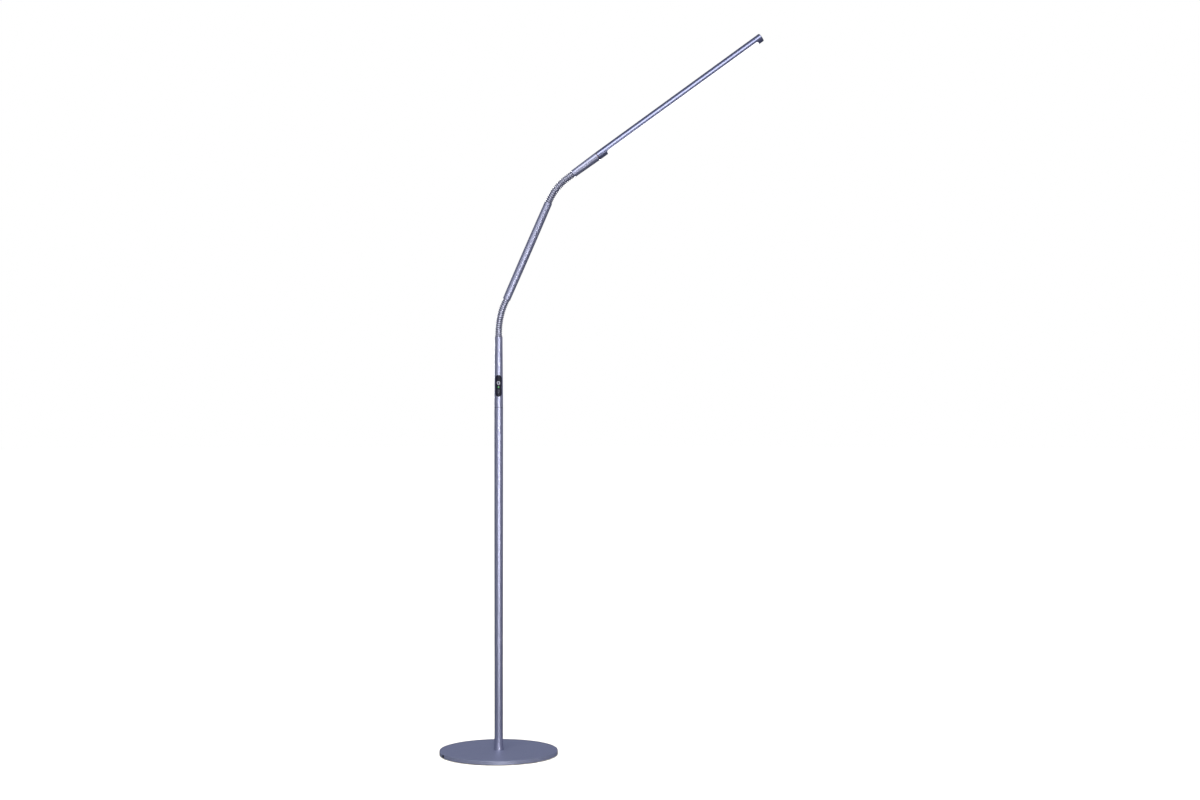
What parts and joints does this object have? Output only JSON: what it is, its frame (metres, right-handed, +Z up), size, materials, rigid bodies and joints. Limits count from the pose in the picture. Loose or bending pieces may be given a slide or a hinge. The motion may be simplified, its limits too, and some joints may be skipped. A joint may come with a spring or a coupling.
{
  "type": "gooseneck reading floor lamp",
  "caption": "Slim gooseneck reading floor lamp: disc base, pole with a touch-size control panel, stay-put ribbed necks with an arm between them, and a swivelling strip light head.",
  "frame": {"origin": "centre of the base pad's underside, on the floor", "axes": "+Z up along the pole, +X towards the side the arm and head lean to, -Y the side the control panel faces"},
  "size_m": [0.6743, 0.246, 1.4986],
  "materials": {
    "silver_paint": "satin",
    "base_paint": "satin",
    "neck_metal": "satin",
    "head_aluminium": "satin",
    "zinc_steel": "satin",
    "plated_metal": "polished",
    "bearing_bronze": "satin",
    "black_plastic": "matte",
    "panel_plastic": "satin",
    "button_plastic": "satin",
    "ring_plastic": "satin",
    "indicator_green": "gloss",
    "diffuser_plastic": "matte",
    "light_chips": "gloss",
    "circuit_board": "satin",
    "lead_jacket": "matte",
    "rubber": "matte"
  },
  "bodies": {
    "stand": {"base_plate": "base_paint", "base_pad": "rubber", "dc_inlet": "black_plastic", "dc_contact_pin": "plated_metal", "pole_leads": "lead_jacket", "pole_stud": "zinc_steel", "pole_foot": "zinc_steel", "pole_collar": "silver_paint", "lower_pole": "silver_paint", "pole_spigot": "zinc_steel", "control_tube": "silver_paint", "control_panel": "panel_plastic", "control_board": "circuit_board", "tact_switches": "black_plastic", "indicator_lens": "indicator_green", "power_ring": "ring_plastic", "lower_neck_ferrule": "neck_metal"},
    "power_button": {"power_button": "button_plastic"},
    "dimmer_button": {"dimmer_button": "button_plastic"},
    "lower_neck_link_01": {"lower_neck_link_01": "neck_metal"},
    "lower_neck_link_02": {"lower_neck_link_02": "neck_metal"},
    "lower_neck_link_03": {"lower_neck_link_03": "neck_metal"},
    "lower_neck_link_04": {"lower_neck_link_04": "neck_metal"},
    "lower_neck_link_05": {"lower_neck_link_05": "neck_metal"},
    "lower_neck_link_06": {"lower_neck_link_06": "neck_metal"},
    "lower_neck_link_07": {"lower_neck_link_07": "neck_metal"},
    "lower_neck_link_08": {"lower_neck_link_08": "neck_metal"},
    "lower_neck_link_09": {"lower_neck_link_09": "neck_metal"},
    "lower_neck_link_10": {"lower_neck_link_10": "neck_metal"},
    "lower_neck_link_11": {"lower_neck_link_11": "neck_metal"},
    "lower_neck_link_12": {"lower_neck_link_12": "neck_metal"},
    "lower_neck_link_13": {"lower_neck_link_13": "neck_metal"},
    "arm": {"arm_tube": "silver_paint", "arm_lower_ferrule": "neck_metal", "arm_upper_ferrule": "neck_metal", "arm_lead": "lead_jacket"},
    "upper_neck_link_01": {"upper_neck_link_01": "neck_metal"},
    "upper_neck_link_02": {"upper_neck_link_02": "neck_metal"},
    "upper_neck_link_03": {"upper_neck_link_03": "neck_metal"},
    "upper_neck_link_04": {"upper_neck_link_04": "neck_metal"},
    "upper_neck_link_05": {"upper_neck_link_05": "neck_metal"},
    "upper_neck_link_06": {"upper_neck_link_06": "neck_metal"},
    "upper_neck_link_07": {"upper_neck_link_07": "neck_metal"},
    "upper_neck_link_08": {"upper_neck_link_08": "neck_metal"},
    "upper_neck_link_09": {"upper_neck_link_09": "neck_metal"},
    "upper_neck_link_10": {"upper_neck_link_10": "neck_metal"},
    "upper_neck_link_11": {"upper_neck_link_11": "neck_metal"},
    "upper_neck_link_12": {"upper_neck_link_12": "neck_metal"},
    "upper_neck_link_13": {"upper_neck_link_13": "neck_metal"},
    "socket": {"head_socket": "silver_paint", "socket_ferrule": "neck_metal", "swivel_bush": "bearing_bronze", "swivel_washer": "bearing_bronze"},
    "head": {"swivel_stem": "zinc_steel", "stem_nut": "zinc_steel", "head_housing": "head_aluminium", "head_tip_cap": "head_aluminium", "diffuser": "diffuser_plastic", "led_board": "circuit_board", "led_chips": "light_chips"}
  },
  "joints": [
    {"name": "lower_neck_bend_01", "type": "hinge", "parent": "stand", "child": "lower_neck_link_01", "pos_m": [0, 0, 0.8822], "axis": [0, 1, 0], "range_deg": [-13.36, 6.64]},
    {"name": "lower_neck_side_01", "type": "hinge", "parent": "lower_neck_link_01", "child": "lower_neck_link_02", "pos_m": [0.00026, 0, 0.88659], "axis": [0.9983, 0, -0.0586], "range_deg": [-6, 6]},
    {"name": "lower_neck_bend_02", "type": "hinge", "parent": "lower_neck_link_02", "child": "lower_neck_link_03", "pos_m": [0.00052, 0, 0.89098], "axis": [0, 1, 0], "range_deg": [-13.36, 6.64]},
    {"name": "lower_neck_side_02", "type": "hinge", "parent": "lower_neck_link_03", "child": "lower_neck_link_04", "pos_m": [0.00103, 0, 0.89535], "axis": [0.9931, 0, -0.1169], "range_deg": [-6, 6]},
    {"name": "lower_neck_bend_03", "type": "hinge", "parent": "lower_neck_link_04", "child": "lower_neck_link_05", "pos_m": [0.00154, 0, 0.89972], "axis": [0, 1, 0], "range_deg": [-13.36, 6.64]},
    {"name": "lower_neck_side_03", "type": "hinge", "parent": "lower_neck_link_05", "child": "lower_neck_link_06", "pos_m": [0.00231, 0, 0.90406], "axis": [0.9846, 0, -0.1749], "range_deg": [-6, 6]},
    {"name": "lower_neck_bend_04", "type": "hinge", "parent": "lower_neck_link_06", "child": "lower_neck_link_07", "pos_m": [0.00308, 0, 0.90839], "axis": [0, 1, 0], "range_deg": [-13.36, 6.64]},
    {"name": "lower_neck_side_04", "type": "hinge", "parent": "lower_neck_link_07", "child": "lower_neck_link_08", "pos_m": [0.0041, 0, 0.91267], "axis": [0.9727, 0, -0.2322], "range_deg": [-6, 6]},
    {"name": "lower_neck_bend_05", "type": "hinge", "parent": "lower_neck_link_08", "child": "lower_neck_link_09", "pos_m": [0.00513, 0, 0.91695], "axis": [0, 1, 0], "range_deg": [-13.36, 6.64]},
    {"name": "lower_neck_side_05", "type": "hinge", "parent": "lower_neck_link_09", "child": "lower_neck_link_10", "pos_m": [0.0064, 0, 0.92116], "axis": [0.9574, 0, -0.2888], "range_deg": [-6, 6]},
    {"name": "lower_neck_bend_06", "type": "hinge", "parent": "lower_neck_link_10", "child": "lower_neck_link_11", "pos_m": [0.00767, 0, 0.92537], "axis": [0, 1, 0], "range_deg": [-13.36, 6.64]},
    {"name": "lower_neck_side_06", "type": "hinge", "parent": "lower_neck_link_11", "child": "lower_neck_link_12", "pos_m": [0.00918, 0, 0.9295], "axis": [0.9388, 0, -0.3444], "range_deg": [-6, 6]},
    {"name": "lower_neck_bend_07", "type": "hinge", "parent": "lower_neck_link_12", "child": "lower_neck_link_13", "pos_m": [0.0107, 0, 0.93364], "axis": [0, 1, 0], "range_deg": [-13.36, 6.64]},
    {"name": "lower_neck_side_07", "type": "hinge", "parent": "lower_neck_link_13", "child": "arm", "pos_m": [0.01245, 0, 0.93767], "axis": [0.9171, 0, -0.3987], "range_deg": [-6, 6]},
    {"name": "upper_neck_bend_01", "type": "hinge", "parent": "arm", "child": "upper_neck_link_01", "pos_m": [0.1072, 0, 1.15556], "axis": [0, 1, 0], "range_deg": [-14.36, 5.64]},
    {"name": "upper_neck_side_01", "type": "hinge", "parent": "upper_neck_link_01", "child": "upper_neck_link_02", "pos_m": [0.10925, 0, 1.15945], "axis": [0.8841, 0, -0.4673], "range_deg": [-6, 6]},
    {"name": "upper_neck_bend_02", "type": "hinge", "parent": "upper_neck_link_02", "child": "upper_neck_link_03", "pos_m": [0.11131, 0, 1.16334], "axis": [0, 1, 0], "range_deg": [-14.36, 5.64]},
    {"name": "upper_neck_side_02", "type": "hinge", "parent": "upper_neck_link_03", "child": "upper_neck_link_04", "pos_m": [0.11365, 0, 1.16707], "axis": [0.8461, 0, -0.5331], "range_deg": [-6, 6]},
    {"name": "upper_neck_bend_03", "type": "hinge", "parent": "upper_neck_link_04", "child": "upper_neck_link_05", "pos_m": [0.116, 0, 1.17079], "axis": [0, 1, 0], "range_deg": [-14.36, 5.64]},
    {"name": "upper_neck_side_03", "type": "hinge", "parent": "upper_neck_link_05", "child": "upper_neck_link_06", "pos_m": [0.11862, 0, 1.17432], "axis": [0.8031, 0, -0.5958], "range_deg": [-6, 6]},
    {"name": "upper_neck_bend_04", "type": "hinge", "parent": "upper_neck_link_06", "child": "upper_neck_link_07", "pos_m": [0.12124, 0, 1.17786], "axis": [0, 1, 0], "range_deg": [-14.36, 5.64]},
    {"name": "upper_neck_side_04", "type": "hinge", "parent": "upper_neck_link_07", "child": "upper_neck_link_08", "pos_m": [0.12412, 0, 1.18118], "axis": [0.7555, 0, -0.6551], "range_deg": [-6, 6]},
    {"name": "upper_neck_bend_05", "type": "hinge", "parent": "upper_neck_link_08", "child": "upper_neck_link_09", "pos_m": [0.12701, 0, 1.18451], "axis": [0, 1, 0], "range_deg": [-14.36, 5.64]},
    {"name": "upper_neck_side_05", "type": "hinge", "parent": "upper_neck_link_09", "child": "upper_neck_link_10", "pos_m": [0.13013, 0, 1.1876], "axis": [0.7036, 0, -0.7106], "range_deg": [-6, 6]},
    {"name": "upper_neck_bend_06", "type": "hinge", "parent": "upper_neck_link_10", "child": "upper_neck_link_11", "pos_m": [0.13326, 0, 1.1907], "axis": [0, 1, 0], "range_deg": [-14.36, 5.64]},
    {"name": "upper_neck_side_06", "type": "hinge", "parent": "upper_neck_link_11", "child": "upper_neck_link_12", "pos_m": [0.13661, 0, 1.19355], "axis": [0.6476, 0, -0.762], "range_deg": [-6, 6]},
    {"name": "upper_neck_bend_07", "type": "hinge", "parent": "upper_neck_link_12", "child": "upper_neck_link_13", "pos_m": [0.13997, 0, 1.1964], "axis": [0, 1, 0], "range_deg": [-14.36, 5.64]},
    {"name": "upper_neck_side_07", "type": "hinge", "parent": "upper_neck_link_13", "child": "socket", "pos_m": [0.14353, 0, 1.19898], "axis": [0.5878, 0, -0.809], "range_deg": [-6, 6]},
    {"name": "head_swivel", "type": "hinge", "parent": "socket", "child": "head", "pos_m": [0.20517, 0, 1.24377], "axis": [0.809, 0, 0.5878], "range_deg": [-160, 160]},
    {"name": "power_press", "type": "slide", "parent": "stand", "child": "power_button", "axis": [0, 1, 0], "range_m": [0, 0.0006], "stiffness_N_per_m": 300, "springref_m": -0.001},
    {"name": "dimmer_press", "type": "slide", "parent": "stand", "child": "dimmer_button", "axis": [0, 1, 0], "range_m": [0, 0.0006], "stiffness_N_per_m": 300, "springref_m": -0.001}
  ]
}
